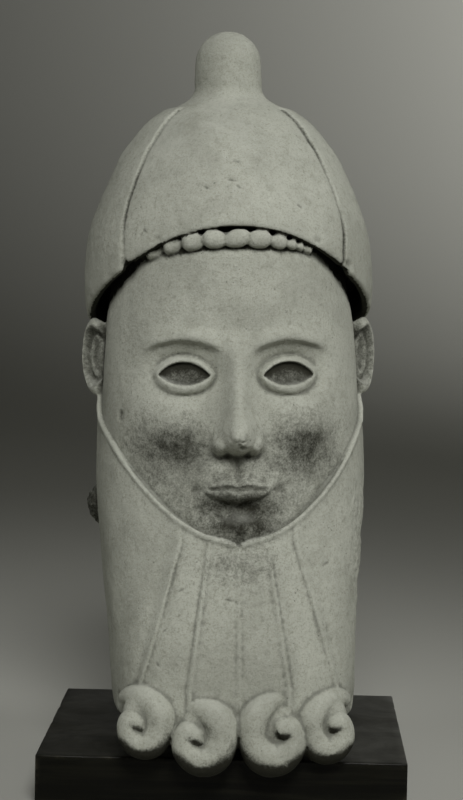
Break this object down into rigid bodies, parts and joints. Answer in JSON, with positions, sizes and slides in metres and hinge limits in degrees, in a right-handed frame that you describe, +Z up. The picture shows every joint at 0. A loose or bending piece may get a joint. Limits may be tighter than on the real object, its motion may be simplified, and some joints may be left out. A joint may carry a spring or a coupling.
{
  "type": "limestone head sculpture",
  "caption": "Large carved limestone head of a bearded figure in a pointed helmet with side flaps, on a low dark wooden plinth.",
  "frame": {"origin": "middle of the plinth's underside, on the surface that it stands on", "axes": "+Z up, the face looks along -Y, +X to the viewer's right"},
  "size_m": [0.43, 0.4345, 0.9093],
  "materials": {
    "limestone": "pale olive-grey limestone, carved and weathered, matt, with pits, faint tool marks and soil in the recesses",
    "dark_wood": "near-black stained wood with a worn satin polish"
  },
  "bodies": {
    "root": {"head": "limestone", "plinth": "dark_wood"}
  },
  "joints": []
}
